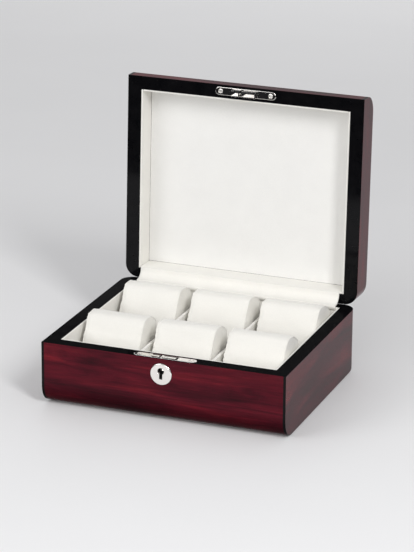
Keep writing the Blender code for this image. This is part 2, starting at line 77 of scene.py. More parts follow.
KEYHOLE_RISE = 3.2          # round part above the rosette's centre
KEYHOLE_DROP = 5.3          # slot's end below the rosette's centre
PLATE_ROUNDING = 0.25
PLATE_CHAMFER = 0.8
SCREW_SEAT_RADIUS = 2.55
SCREW_DOME = 0.35
HOOK_WALL = 1.3
HOOK_HALF = 3.5             # half the hooks' size across the plate
HOOK_PLAY = 0.45            # play round a hook in its slot
HOOKS = ((-13.6, -4.6), (-1.9, 13.2))   # X spans of the hooks from the plate's middle
CLOTH_ROUNDING = 0.8
DIVIDER_ROUNDING = 1.3
PANEL_CROWN = 0.9
WEB_THICKNESS = 0.7
WEB_LIFT = 0.9              # the cloth's lowest part above the hinge solid's underside
WEB_TURN = 1.2              # radius where it turns down over the base liner
WEB_TAIL = 4.5              # how far it is tucked down behind the turn
WEB_RIPPLE = 0.35
WEB_COLUMNS = 150
PIPING_RADIUS = 0.65
CUSHION_LEAN = 11.0         # middle of a cushion's section behind its pivot line
CUSHION_PUFF = 1.6          # furthest that the stuffing may push the cloth out
CUSHION_VOXEL = 2.6
SIM_FRAMES = 20
TABLE_HALF_WIDTH = 2600
TABLE_FRONT = -640
TABLE_REAR = 3600

HINGE = next(j for j in frame["joints"] if j["name"] == "lid_hinge")
PIVOT = Vector(HINGE["pos_m"])
OPEN_ANGLE = -math.radians(HINGE["range_deg"][0])
TURN = Matrix.Rotation(OPEN_ANGLE, 4, Vector(HINGE["axis"]))
LID_OPEN = Matrix.Translation(PIVOT) @ TURN @ Matrix.Translation(-PIVOT)


# ---------------------------------------------------------------- places

def node_box(name):
    """A node's corners in millimetres, measured with the lid closed."""
    on_lid = name.startswith(("lid_", "strike_", "hinge_lid_"))
    to_closed = LID_OPEN.inverted() if on_lid else Matrix()
    points = [to_closed @ v.co for v in bpy.data.objects[name].data.vertices]
    low = [min(p[i] for p in points) / MM for i in range(3)]
    high = [max(p[i] for p in points) / MM for i in range(3)]
    return low, high


def middle(low, high, axis):
    return (low[axis] + high[axis]) / 2


def circle(centre, radius, steps=48):
    return arc(centre, radius, 0, 360, steps)[:-1]


def arc(centre, radius, start, end, steps=FINE_STEPS):
    """Points along an arc, by angles in degrees."""
    points = []
    for i in range(steps + 1):
        angle = math.radians(start + (end - start) * i / steps)
        points.append((centre[0] + radius * math.cos(angle), centre[1] + radius * math.sin(angle)))
    return points


def stadium(centre, length, width, steps=24):
    """A rectangle with round ends, as an outline."""
    radius = width / 2
    reach = length / 2 - radius
    right = arc((centre[0] + reach, centre[1]), radius, -90, 90, steps)
    return right + arc((centre[0] - reach, centre[1]), radius, 90, 270, steps)


def rectangle(low, high):
    return [(low[0], low[1]), (high[0], low[1]), (high[0], high[1]), (low[0], high[1])]


# ---------------------------------------------------------------- meshes

def add_prism(bm, outline, axis, low, high):
    """A closed prism of a 2-D outline, drawn across the axes other than its own."""
    def place(point, along):
        values = list(point)
        values.insert("xyz".index(axis), along)
        return [v * MM for v in values]

    ends = [[bm.verts.new(place(p, along)) for p in outline] for along in (low, high)]
    count = len(outline)
    bm.faces.new(ends[0])
    bm.faces.new(list(reversed(ends[1])))
    for i in range(count):
        j = (i + 1) % count
        bm.faces.new((ends[0][i], ends[1][i], ends[1][j], ends[0][j]))


def mesh_from(name, bm):
    """A mesh with outward normals from a bmesh, which is freed."""
    bmesh.ops.recalc_face_normals(bm, faces=bm.faces)
    mesh = bpy.data.meshes.new(name)
    bm.to_mesh(mesh)
    bm.free()
    return mesh


def prism(name, outline, axis, low, high):
    bm = bmesh.new()
    add_prism(bm, outline, axis, low, high)
    return mesh_from(name, bm)


def box(name, low, high):
    return prism(name, rectangle(low[:2], high[:2]), "z", low[2], high[2])


def link(name, mesh):
    """A new object in the scene."""
    made = bpy.data.objects.new(name, mesh)
    bpy.context.scene.collection.objects.link(made)
    return made


def settle(made):
    """Turn an object's modifiers into its mesh."""
    bpy.context.view_layer.update()
    evaluated = made.evaluated_get(bpy.context.evaluated_depsgraph_get())
    mesh = bpy.data.meshes.new_from_object(evaluated)
    made.modifiers.clear()
    made.data = mesh
    return made


def carve(made, operation, meshes):
    """Cut, join or intersect an object with meshes, one after another."""
    tools = [link("tool", mesh) for mesh in meshes]
    for tool in tools:
        step = made.modifiers.new(operation, "BOOLEAN")
        step.operation = operation
        step.object = tool
        step.solver = "EXACT"
    settle(made)
    for tool in tools:
        bpy.data.objects.remove(tool, do_unlink=True)
    return made


def bevel_edges(made, width, segments, wanted):
    """Round the edges that the test picks."""
    bm = bmesh.new()
    bm.from_mesh(made.data)
    edges = [e for e in bm.edges if len(e.link_faces) == 2 and wanted(e)]
    bmesh.ops.bevel(bm, geom=edges, offset=width * MM, segments=segments, profile=0.5,
                    affect="EDGES", clamp_overlap=True)
    bm.to_mesh(made.data)
    bm.free()


def sharp_edge(edge, limit=math.radians(40)):
    return edge.calc_face_angle(0) > limit


def smooth(made, angle=40):
    """Smooth shading that leaves flat faces flat and real corners sharp."""
    made.data.shade_smooth()
    made.data.set_sharp_from_angle(angle=math.radians(angle))
    made.modifiers.new("normals", "WEIGHTED_NORMAL").keep_sharp = True


def finish_piece(made, finish, body, nodes=()):
    """Give a piece its material, its body and the nodes it stands for."""
    if finish:
        made.data.materials.clear()
        made.data.materials.append(finish)
    if body == "lid":
        made.matrix_world = LID_OPEN
    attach(made, body)
    if nodes:
        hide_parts(*nodes)
    return made


# ---------------------------------------------------------------- node materials

class Shader:
    """A Principled material and short ways to add nodes to it."""

    def __init__(self, name):
        self.material = bpy.data.materials.new(name)
        self.material.use_nodes = True
        self.tree = self.material.node_tree
        self.principled = self.tree.nodes["Principled BSDF"]

    def set(self, **values):
        for name, value in values.items():
            socket = name.replace("_", " ").title().replace("Ior", "IOR")
            self.principled.inputs[socket].default_value = value

    def node(self, kind, inputs=None, **settings):
        made = self.tree.nodes.new(kind)
        for name, value in settings.items():
            setattr(made, name, value)
        for name, value in (inputs or {}).items():
            self.feed(made.inputs[name], value)
        return made

    def feed(self, socket, value):
        if isinstance(value, bpy.types.NodeSocket):
            self.tree.links.new(value, socket)
        else:
            socket.default_value = value

    def math(self, operation, a, b=0.0, clamp=False):
        inputs = {0: a, 1: b}
        return self.node("ShaderNodeMath", inputs, operation=operation, use_clamp=clamp).outputs[0]

    def place(self, scale=(1, 1, 1), turn=(0, 0, 0)):
        coordinates = self.node("ShaderNodeTexCoord").outputs["Object"]
        mapping = self.node("ShaderNodeMapping", {"Vector": coordinates, "Scale": scale, "Rotation": turn})
        return mapping.outputs[0]

    def noise(self, vector, scale, detail=4.0, roughness=0.5, distortion=0.0):
        inputs = {"Vector": vector, "Scale": scale, "Detail": detail}
        inputs.update({"Roughness": roughness, "Distortion": distortion})
        return self.node("ShaderNodeTexNoise", inputs).outputs["Fac"]

    def ramp(self, factor, stops):
        made = self.node("ShaderNodeValToRGB", {"Fac": factor})
        elements = made.color_ramp.elements
        while len(elements) < len(stops):
            elements.new(0.5)
        for element, (position, colour) in zip(elements, stops):
            element.position = position
            element.color = (*colour, 1.0)
        return made.outputs["Color"]

    def grey(self, factor, low, high):
        return self.ramp(factor, ((low[0], (low[1],) * 3), (high[0], (high[1],) * 3)))

    def mix(self, factor, a, b, kind="MIX"):
        made = self.node("ShaderNodeMix", data_type="RGBA", blend_type=kind)
        self.feed(made.inputs[0], factor)
        self.feed(made.inputs[6], a)
        self.feed(made.inputs[7], b)
        return made.outputs[2]

    def colour(self, value):
        self.feed(self.principled.inputs["Base Color"], value)

    def rough(self, value):
        self.feed(self.principled.inputs["Roughness"], value)

    def bump(self, height, distance, strength=1.0, under=None):
        inputs = {"Height": height, "Distance": distance, "Strength": strength}
        made = self.node("ShaderNodeBump", inputs)
        if under:
            self.feed(made.inputs["Normal"], under)
        self.feed(self.principled.inputs["Normal"], made.outputs[0])
        return made.outputs[0]


BLACK = (0.0035, 0.0035, 0.004)


def veneer_material():
    """Gloss rosewood veneer with horizontal figure, black down both front corners; painted shade darkens
    it and weakens its gloss near the foot.
    """
    s = Shader("rosewood_veneer")
    along_x = s.place((8, 52, 52), (0, math.radians(5), 0))
    along_y = s.place((52, 8, 52), (math.radians(30), 0, 0))
    normal = s.node("ShaderNodeSeparateXYZ", {0: s.node("ShaderNodeNewGeometry").outputs["Normal"]})
    local = s.node("ShaderNodeSeparateXYZ", {0: s.node("ShaderNodeTexCoord").outputs["Object"]})
    on_end = s.math("GREATER_THAN", s.math("ABSOLUTE", normal.outputs["X"]), 0.6)
    grain = s.mix(on_end, along_x, along_y)
    figure = s.noise(grain, 1.1, 5.0, 0.55, 0.9)
    streak = s.noise(s.mix(on_end, s.place((9, 420, 420)), s.place((420, 9, 420))), 1.0, 3.0, 0.6, 0.3)
    pores = s.noise(s.mix(on_end, s.place((60, 1500, 1500)), s.place((1500, 60, 1500))), 1.0, 2.0, 0.5)
    wood = s.ramp(figure, (
        (0.28, (0.026, 0.0012, 0.0042)),
        (0.44, (0.058, 0.0024, 0.0084)),
        (0.56, (0.094, 0.0044, 0.0122)),
        (0.74, (0.180, 0.0100, 0.0180)),
    ))
    wood = s.mix(0.55, wood, s.grey(streak, (0.3, 0.40), (0.7, 1.0)), "MULTIPLY")
    wood = s.mix(0.22, wood, s.grey(pores, (0.35, 0.3), (0.5, 1.0)), "MULTIPLY")
    width = node_box("base_right_end")[1][0] * MM
    edge = s.math("SUBTRACT", s.math("ABSOLUTE", local.outputs["X"]), width - CORNER_BAND * MM)
    band = s.math("MULTIPLY", edge, 1 / (0.5 * MM), True)
    facing = s.math("LESS_THAN", s.math("ABSOLUTE", normal.outputs["X"]), 0.93)
    in_front = s.math("LESS_THAN", local.outputs["Y"], CORNER_BAND_REAR * MM)
    band = s.math("MULTIPLY", s.math("MULTIPLY", band, facing), in_front)
    # painted shade: the veneer grows darker in a band near the foot of the case, standing in for shade and
    # a dark reflection there; end faces are left out
    foot = s.ramp(s.math("MULTIPLY", local.outputs["Z"], 1 / (FOOT_PAINTED_SHADE * MM)), (
        (0.0, (0.90,) * 3),
        (0.28, (0.45,) * 3),
        (0.50, (0.55,) * 3),
        (1.0, (1.0,) * 3),
    ))
    foot = s.mix(on_end, foot, (1, 1, 1, 1))
    wood = s.mix(1.0, wood, foot, "MULTIPLY")
    s.colour(s.mix(band, wood, (*BLACK, 1)))
    # painted shade also thins the gloss coat near the foot, so it reflects less there
    s.feed(s.principled.inputs["Coat Weight"], s.mix(1.0, foot, foot, "MULTIPLY"))
    s.rough(s.grey(streak, (0.3, 0.34), (0.7, 0.44)))
    s.set(coat_roughness=0.035, coat_ior=1.22, specular_ior_level=0.0)
    s.bump(s.noise(s.place(), 14.0, 2.0), 0.0003, 0.25)
    return s.material


def lacquer_material(name, ior):
    """Black piano lacquer with a trace of polishing haze."""
    s = Shader(name)
    haze = s.noise(s.place(), 90.0, 5.0, 0.6)
    s.colour(s.ramp(haze, ((0.35, (0.0028, 0.0028, 0.0034)), (0.7, (0.0050, 0.0048, 0.0055)))))
    s.rough(s.grey(haze, (0.3, 0.05), (0.75, 0.10)))
    s.set(ior=ior)
    return s.material


def suede_material(name, tint):
    """Short-napped cream cloth: soft sheen, brushed patches and fine fibre bump."""
    s = Shader(name)
    nap = s.noise(s.place(), 1500.0, 3.0, 0.7)
    patches = s.noise(s.place((1, 1, 1)), 38.0, 4.0, 0.55)
    fibre = s.noise(s.place((1, 1, 1), (0.4, 0.3, 0.2)), 4200.0, 2.0, 0.6)
    low = tuple(v * 0.97 for v in tint)
    colour = s.ramp(patches, ((0.3, low), (0.7, tint)))
    s.colour(s.mix(0.22, colour, s.grey(nap, (0.3, 0.72), (0.65, 1.0)), "MULTIPLY"))
    s.rough(s.grey(patches, (0.3, 0.9), (0.7, 0.98)))
    s.set(sheen_weight=0.35, sheen_roughness=0.5, specular_ior_level=0.12)
    under = s.bump(s.noise(s.place(), 160.0, 3.0), 0.0004, 0.35)
    s.bump(fibre, 0.00012, 0.6, under)
    return s.material


def nickel_material(name, polish):
    """Nickel plate with fine handling marks, polished or satin."""
    s = Shader(name)
    marks = s.noise(s.place((900, 40, 900)), 1.0, 3.0, 0.6)
    cloud = s.noise(s.place(), 120.0, 3.0)
    s.colour(s.ramp(cloud, ((0.3, (0.93, 0.905, 0.87)), (0.7, (0.97, 0.945, 0.915)))))
    s.rough(s.grey(marks, (0.35, polish), (0.7, polish * 1.8)))
    s.set(metallic=1.0)
    s.bump(marks, 0.00002, 0.3)
    return s.material


def steel_material():
    """Plain plated steel, slightly brushed."""
    s = Shader("plated_steel")
    brushed = s.noise(s.place((60, 2200, 2200)), 1.0, 3.0, 0.6)
    s.colour(s.grey(brushed, (0.3, 0.44), (0.7, 0.58)))
    s.rough(s.grey(brushed, (0.3, 0.28), (0.7, 0.42)))
    s.set(metallic=1.0)
    s.bump(brushed, 0.00003, 0.4)
    return s.material


def felt_material():
    """Matted black felt."""
    s = Shader("black_felt")
    fibre = s.noise(s.place(), 1800.0, 4.0, 0.7, 1.5)
    s.colour(s.grey(fibre, (0.3, 0.008), (0.7, 0.035)))
    s.set(sheen_weight=0.4, sheen_roughness=0.6, roughness=1.0)
    s.bump(fibre, 0.0003, 0.8)
    return s.material


def floor_material():
    """A plain pale table top."""
    s = Shader("pale_floor")
    cloud = s.noise(s.place(), 6.0, 2.0)
    s.colour(s.ramp(cloud, ((0.3, (0.84, 0.84, 0.845)), (0.7, (0.85, 0.85, 0.855)))))
    s.set(roughness=0.55, specular_ior_level=0.2)
    return s.material


# ---------------------------------------------------------------- the case

def side_outline(flat_z, rim_z):
    """The case from the side: square at the rim, round where the walls meet the flat board."""
    half = node_box("base_left_end")[1][1]
    up = 1 if rim_z > flat_z else -1
    level = flat_z + up * EDGE_RADIUS
    reach = half - EDGE_RADIUS
    outline = [(-half, rim_z)]
    outline += arc((-reach, level), EDGE_RADIUS, 180, 180 + 90 * up)
    outline += arc((reach, level), EDGE_RADIUS, -90 * up, 0)
    return outline + [(half, rim_z)]


def plan_outline():
    """The case from above: square at the front, round at the rear corners."""
    half_x = node_box("base_right_end")[1][0]
    half_y = node_box("base_right_end")[1][1]
    reach_x = half_x - REAR_CORNER_RADIUS
    reach_y = half_y - REAR_CORNER_RADIUS
    corner = REAR_CORNER_RADIUS
    outline = [(-half_x, -half_y), (half_x, -half_y)]
    return outline + arc((reach_x, reach_y), corner, 0, 90) + arc((-reach_x, reach_y), corner, 90, 180)


def case_shell(name, label, flat_z, rim_z, floor_z, cuts, finishes):
    """One side of the case as a continuous veneered shell with a lacquered rim."""
    low, high = node_box(label + "_left_end")[0], node_box(label + "_right_end")[1]
    made = link(name, prism(name, side_outline(flat_z, rim_z), "x", low[0], high[0]))
    plan = prism("plan", plan_outline(), "z", min(flat_z, rim_z) - 1, max(flat_z, rim_z) + 1)
    carve(made, "INTERSECT", [plan])
    rim = rim_z * MM

    def end_face_edge(edge):
        across = sorted(abs(f.normal.x) for f in edge.link_faces)
        at_rim = all(abs(v.co.z - rim) < 0.01 * MM for v in edge.verts)
        return across[0] < 0.2 and across[1] > 0.99 and not at_rim

    bevel_edges(made, END_FACE_ROUNDING, 5, end_face_edge)
    inner_x = node_box(label + "_right_end")[0][0]
    front = node_box(label + "_front_board")[1][1]
    rear = node_box(label + "_rear_board")[0][1]
    past = rim_z + (2 if rim_z > flat_z else -2)
    cavity = box("cavity", (-inner_x, front, min(floor_z, past)), (inner_x, rear, max(floor_z, past)))
    carve(made, "DIFFERENCE", [cavity] + cuts)

    def rim_edge(edge):
        return sharp_edge(edge) and all(abs(v.co.z - rim) < 0.01 * MM for v in edge.verts)

    bevel_edges(made, RIM_ROUNDING, 3, rim_edge)
    veneer, lacquer = finishes
    made.data.materials.clear()
    made.data.materials.append(veneer)
    made.data.materials.append(lacquer)
    half_x, half_y = (v * MM for v in node_box(label + "_right_end")[1][:2])
    for face in made.data.polygons:
        centre = face.center
        from_wall = max(abs(centre.x) - half_x, abs(centre.y) - half_y)
        depth = SEAT_DEPTH if from_wall < -2 * MM else RIM_ROUNDING
        on_rim = abs(centre.z - rim) < (depth + 0.05) * MM
        within_x = abs(centre.x) < (inner_x + 0.1) * MM
        within_y = (front - 0.1) * MM < centre.y < (rear + 0.3) * MM
        above_flat = abs(centre.z - flat_z * MM) > MM
        face.material_index = 1 if on_rim or (within_x and within_y and above_flat) else 0
    smooth(made, 35)
    nodes = [f"{label}_{part}" for part in ("left_end", "right_end", "front_board", "rear_board")]
    nodes.append("base_bottom_board" if label == "base" else "lid_top_board")
    return finish_piece(made, None, label, nodes)


def grown(node, amount):
    """A node's box made larger all round, for cutting its seat."""
    low, high = node_box(node)
    return [v - amount for v in low], [v + amount for v in high]


def hinge_seats(label):
    """Mortises for the leaves and room for the barrels, open at the rim."""
    pivot_y, pivot_z = PIVOT.y / MM, PIVOT.z / MM
    depth = LEAF_POCKET + SEAT_GAP / 2
    span = (pivot_z - depth, pivot_z + 1) if label == "base" else (pivot_z - 1, pivot_z + depth)
    seats = []
    for side in ("left", "right"):
        low, high = node_box(f"hinge_{label}_leaf_{side}")
        pin_low, pin_high = node_box(f"hinge_pin_{side}")
        seats.append(box("seat", (low[0] - SEAT_GAP, low[1] - SEAT_GAP, span[0]),
                         (high[0] + SEAT_GAP, high[1] + 2, span[1])))
        ring = circle((pivot_y, pivot_z), high[1] - pivot_y + 0.4, 32)
        seats.append(prism("room", ring, "x", pin_low[0] - SEAT_GAP, pin_high[0] + SEAT_GAP))
    return seats


def build_case(veneer, base_lacquer_shaded_copy, lid_lacquer):
    """The base and the lid, with seats cut for every fitting."""
    base_low, base_high = node_box("base_left_end")
    lid_low, lid_high = node_box("lid_left_end")
    plate_low, plate_high = node_box("lock_plate")
    centre = (middle(plate_low, plate_high, 0), middle(plate_low, plate_high, 1))
    play = 0.5
    seat = stadium(centre, plate_high[0] - plate_low[0] + play, plate_high[1] - plate_low[1] + play)
    case_box = grown("lock_case", SEAT_GAP)
    pocket = box("pocket", case_box[0], (*case_box[1][:2], base_high[2] + 1))
    key_way = prism("key_way", keyhole_outline(0.4), "y", base_low[1] - 2, centre[1])
    disc_low, disc_high = node_box("escutcheon")
    disc = circle((middle(disc_low, disc_high, 0), middle(disc_low, disc_high, 2)),
                  (disc_high[0] - disc_low[0]) / 2 + 0.2, 64)
    base_cuts = [
        prism("seat", seat, "z", plate_low[2] - SEAT_GAP, base_high[2] + 1),
        pocket,
        key_way,
        prism("disc", disc, "y", base_low[1] - 2, disc_high[1] + SEAT_GAP),
    ]
    base_cuts += hinge_seats("base")
    case_shell("base_case", "base", base_low[2], base_high[2], node_box("base_bottom_board")[1][2],
               base_cuts, (veneer, base_lacquer_shaded_copy))
    strike_top = node_box("strike_plate")[1][2]
    lid_cuts = [prism("seat", seat, "z", lid_low[2] - 1, strike_top + SEAT_GAP)] + hinge_seats("lid")
    case_shell("lid_case", "lid", lid_high[2], lid_low[2], node_box("lid_top_board")[0][2],
               lid_cuts, (veneer, lid_lacquer))


# ---------------------------------------------------------------- fittings

def keyhole_outline(grow=0.0):
    """A round hole with a straight slot below it, in X and Z."""
    low, high = node_box("escutcheon")
    x = middle(low, high, 0)
    z = middle(low, high, 2)
    radius = KEYHOLE_RADIUS + grow
    half = KEYHOLE_HALF_SLOT + grow
    end = z - KEYHOLE_DROP - grow
    meet = math.degrees(math.asin(half / radius))
    outline = arc((x, z + KEYHOLE_RISE), radius, -90 + meet, 270 - meet, 40)
    return outline + [(x - half, end), (x + half, end)]


def build_escutcheon(nickel):
    """A flat rosette round the keyhole, rounded towards its rim."""
    low, high = node_box("escutcheon")
    centre = Vector((middle(low, high, 0), 0, middle(low, high, 2)))
    radius = (high[0] - low[0]) / 2
    proud = high[1] - low[1]
    profile = [(0.0, proud), (radius - 1.0, proud), (radius - 0.55, proud - 0.12)]
    profile += [(radius - 0.2, proud - 0.42), (radius, proud - 0.95), (radius, 0.0), (0.0, 0.0)]
    bm = bmesh.new()
    steps = 96
    rings = []
    for reach, height in profile:
        if reach == 0.0:
            rings.append([bm.verts.new((centre.x * MM, (high[1] - height) * MM, centre.z * MM))])
            continue
        ring = []
        for i in range(steps):
            angle = 2 * math.pi * i / steps
            x = centre.x + reach * math.cos(angle)
            z = centre.z + reach * math.sin(angle)
            ring.append(bm.verts.new((x * MM, (high[1] - height) * MM, z * MM)))
        rings.append(ring)
    for a, b in zip(rings, rings[1:]):
        for i in range(steps):
            j = (i + 1) % steps
            corners = [a[i % len(a)], a[j % len(a)], b[j % len(b)], b[i % len(b)]]
            bm.faces.new(list(dict.fromkeys(corners)))
    made = link("keyhole_rosette", mesh_from("rosette", bm))
    carve(made, "DIFFERENCE", [prism("keyhole", keyhole_outline(), "y", low[1] - 2, high[1] + 2)])

    def mouth(edge):
        return sharp_edge(edge) and all(v.co.y < (low[1] + 0.02) * MM for v in edge.verts)

    bevel_edges(made, 0.3, 3, mouth)
    smooth(made, 35)
    finish_piece(made, nickel, "base", ["escutcheon"])


def hook_spans():
    """The X spans of the strike plate's two hooks."""
    x = middle(*node_box("strike_plate"), 0)
    return [(x + start, x + end) for start, end in HOOKS]


def screw_places(label):
    """Where a plate's two screws stand, in X and Y."""
    places = []
    for number in (1, 2):
        low, high = node_box(f"{label}_plate_screw_{number}")
        places.append((middle(low, high, 0), middle(low, high, 1)))
    return places


def hook_meshes(y, foot, face_z):
    """Blocks to join to the strike plate and channels to cut from them."""
    inner = HOOK_HALF - HOOK_WALL
    blocks = []
    channels = []
    for start, end in hook_spans():
        blocks.append(box("hook", (start, y - HOOK_HALF, foot), (end, y + HOOK_HALF, face_z + 0.5)))
        channels.append(box("channel", (start - 1, y - inner, foot - 1),
                            (end - HOOK_WALL, y + inner, face_z)))
    return blocks, channels


def hook_slots(y, top):
    """U-shaped slots in the lock plate, one for each hook."""
    outer = HOOK_HALF + HOOK_PLAY
    inner = HOOK_HALF - HOOK_WALL - HOOK_PLAY
    slots = []
    for start, end in hook_spans():
        left, right = start - HOOK_PLAY, end + HOOK_PLAY
        turn = right - HOOK_WALL - 2 * HOOK_PLAY
        outline = [(left, y - outer), (right, y - outer), (right, y + outer), (left, y + outer)]
        outline += [(left, y + inner), (turn, y + inner), (turn, y - inner), (left, y - inner)]
        slots.append(prism("slot", outline, "z", top - 4, top + 2))
    return slots


def build_plates(nickel, satin):
    """The slotted lock plate and the hooked strike plate, with bevelled borders."""
    seat_low, seat_high = node_box("lock_plate")
    width = seat_high[1] - seat_low[1]
    thick = seat_high[2] - seat_low[2]
    for label, body in (("lock", "base"), ("strike", "lid")):
        low, high = node_box(label + "_plate")
        centre = (middle(low, high, 0), middle(low, high, 1))
        top = high[2]
        face_z = top if label == "lock" else top - thick
        outline = stadium(centre, high[0] - low[0], width)
        made = link(label + "_plate_polished", prism("plate", outline, "z", top - thick, top))

        def border(edge):
            return all(abs(v.co.z / MM - face_z) < 0.01 for v in edge.verts)

        bevel_edges(made, PLATE_CHAMFER, 3, border)
        if label == "lock":
            carve(made, "DIFFERENCE", hook_slots(centre[1], top))
        else:
            blocks, channels = hook_meshes(centre[1], low[2], face_z)
            carve(made, "UNION", blocks)
            carve(made, "DIFFERENCE", channels)
        holes = [prism("hole", circle(place, SCREW_SEAT_RADIUS), "z", top - thick - 1, top + 1)
                 for place in screw_places(label)]
        carve(made, "DIFFERENCE", holes)
        bevel_edges(made, PLATE_ROUNDING, 2, lambda e: sharp_edge(e, math.radians(60)))
        made.data.materials.clear()
        made.data.materials.append(nickel)
        made.data.materials.append(satin)
        for face in made.data.polygons:
            is_hook = face.center.z < (face_z - 0.1) * MM and body == "lid"
            face.material_index = 1 if is_hook and abs(face.normal.y) > 0.5 else 0
        smooth(made, 40)
        finish_piece(made, None, body, [label + "_plate"])


def build_screws(nickel):
    """Cross-headed screws with a slightly domed head."""
    for label, body, outward in (("lock", "base", 1), ("strike", "lid", -1)):
        for number, centre in enumerate(screw_places(label), 1):
            name = f"{label}_plate_screw_{number}"
            low, high = node_box(name)
            radius = (high[0] - low[0]) / 2
            foot, crown = (low[2], high[2]) if outward > 0 else (high[2], low[2])
            dome = outward * SCREW_DOME
            rings = [(radius, foot), (radius, crown - dome)]
            for angle in (20, 40, 60, 75):
                a = math.radians(angle)
                rings.append((radius * math.cos(a), crown - dome * (1 - math.sin(a))))
            bm = bmesh.new()
            turn_profile(bm, centre, rings)
            made = link(name + "_head", mesh_from("screw", bm))
            carve(made, "DIFFERENCE", cross_recess(centre, radius, crown, outward, 25 + 50 * number))
            smooth(made, 35)
            finish_piece(made, nickel, body, [name])


def cross_recess(centre, radius, crown, outward, angle):
    """Two crossed bars for cutting the recess of a screw head."""
    arm, half = radius * 0.5, 0.28
    depth = sorted((crown + outward, crown - outward * 0.65))
    spin = Matrix.Translation(Vector((*centre, 0)) * MM)
    spin = spin @ Matrix.Rotation(math.radians(angle), 4, "Z") @ spin.inverted()
    bars = []
    for reach_x, reach_y in ((arm, half), (half, arm)):
        bars.append(box("cross", (centre[0] - reach_x, centre[1] - reach_y, depth[0]),
                        (centre[0] + reach_x, centre[1] + reach_y, depth[1])))
        bars[-1].transform(spin)
    return bars


def turn_profile(bm, centre, rings, steps=40):
    """A closed turned shape on a vertical axis from (radius, height) pairs."""
    loops = []
    for radius, height in rings:
        loop = []
        for x, y in circle(centre, radius, steps):
            loop.append(bm.verts.new((x * MM, y * MM, height * MM)))
        loops.append(loop)
    for a, b in zip(loops, loops[1:]):
        for i in range(steps):
            j = (i + 1) % steps
            bm.faces.new((a[i], a[j], b[j], b[i]))
    bm.faces.new(loops[0])
    bm.faces.new(loops[-1])


def build_hinges(steel):
    """Leaves, knuckles and pins keep their solids' shape, with rounded edges."""
    names = [f"hinge_{label}_leaf_{side}" for label in ("base", "lid") for side in ("left", "right")]
    names += [f"hinge_pin_{side}" for side in ("left", "right")]
    names += [f"hinge_{label}_screw_{n}" for label in ("base", "lid") for n in (1, 2, 3, 4)]
    for name in names:
        mesh = bpy.data.objects[name].data.copy()
        body = "lid" if name.startswith("hinge_lid") else "base"
        if body == "lid":
            mesh.transform(LID_OPEN.inverted())
        made = link(name + "_finished", mesh)
        bevel_edges(made, 0.12, 2, lambda e: sharp_edge(e, math.radians(60)))
        smooth(made, 35)
        finish_piece(made, steel, body, [name])


# ---------------------------------------------------------------- cloth linings

def cloth_board(name, node, suede, body):
    """A thin board wrapped in cloth: rounded edges and a faint unevenness."""
    low, high = node_box(node)
    made = link(name, box(name, low, high))
    thin = min(high[i] - low[i] for i in range(3))
    bevel_edges(made, min(CLOTH_ROUNDING, thin * 0.45), 4, sharp_edge)
    smooth(made, 30)
    finish_piece(made, suede, body, [node])


def build_linings(suede, panel_suede):
    """Every cloth-covered board of the base and the lid."""
    for label in ("base", "lid"):
        for side in ("left", "right", "front", "rear"):
            node = f"{label}_liner_{side}"
            cloth_board(node + "_cloth", node, suede, label)
    cloth_board("base_liner_floor_cloth", "base_liner_floor", suede, "base")
    build_dividers(suede)
    build_panel(panel_suede)


def build_dividers(suede):
    """Cloth-wrapped divider boards, half-lapped, with rounded top edges."""
    for node in ("row_divider", "column_divider_left", "column_divider_right"):
        made = link(node + "_cloth", bpy.data.objects[node].data.copy())
        top = node_box(node)[1][2] * MM

        def top_edge(edge):
            return sharp_edge(edge) and all(abs(v.co.z - top) < 0.01 * MM for v in edge.verts)

        bevel_edges(made, DIVIDER_ROUNDING, 5, top_edge)
        smooth(made, 30)
        finish_piece(made, suede, "base", [node])


def build_panel(suede):
    """The lid's padded panel: a shallow pillow tucked in along its edges."""
    low, high = node_box("lid_panel_pad")
    wide, deep = high[0] - low[0], high[1] - low[1]
    count_x, count_y = 90, 76
    bm = bmesh.new()
    layers = []
    for face in (0, 1):
        rows = []
        for j in range(count_y + 1):
            row = []
            for i in range(count_x + 1):
                u, v = i / count_x, j / count_y
                x, y = low[0] + wide * u, low[1] + deep * v
                edge = min(u * wide, (1 - u) * wide, v * deep, (1 - v) * deep)
                waves = 0.25 * noise.noise(Vector((x, y, 0)) / 45)
                rise = PANEL_CROWN * (1 - math.exp(-edge / 3.0)) + waves
                z = high[2] if face else low[2] + PANEL_CROWN - rise
                row.append(bm.verts.new((x * MM, y * MM, z * MM)))
            rows.append(row)
        layers.append(rows)
    for rows in layers:
        for j in range(count_y):
            for i in range(count_x):
                bm.faces.new((rows[j][i], rows[j][i + 1], rows[j + 1][i + 1], rows[j + 1][i]))
    rims = [outer_loop(rows) for rows in layers]
    for i in range(len(rims[0])):
        j = (i + 1) % len(rims[0])
        bm.faces.new((rims[0][i], rims[0][j], rims[1][j], rims[1][i]))
    made = link("lid_panel_cloth", mesh_from("panel", bm))
    smooth(made, 50)
    finish_piece(made, suede, "lid", ["lid_panel_pad"])


def outer_loop(rows):
    """The border of a grid of vertices, in order."""
    loop = list(rows[0])
    loop += [row[-1] for row in rows[1:]]
    loop += list(reversed(rows[-1][:-1]))
    return loop + [row[0] for row in reversed(rows[1:-1])]


# ---------------------------------------------------------------- hinge cloth

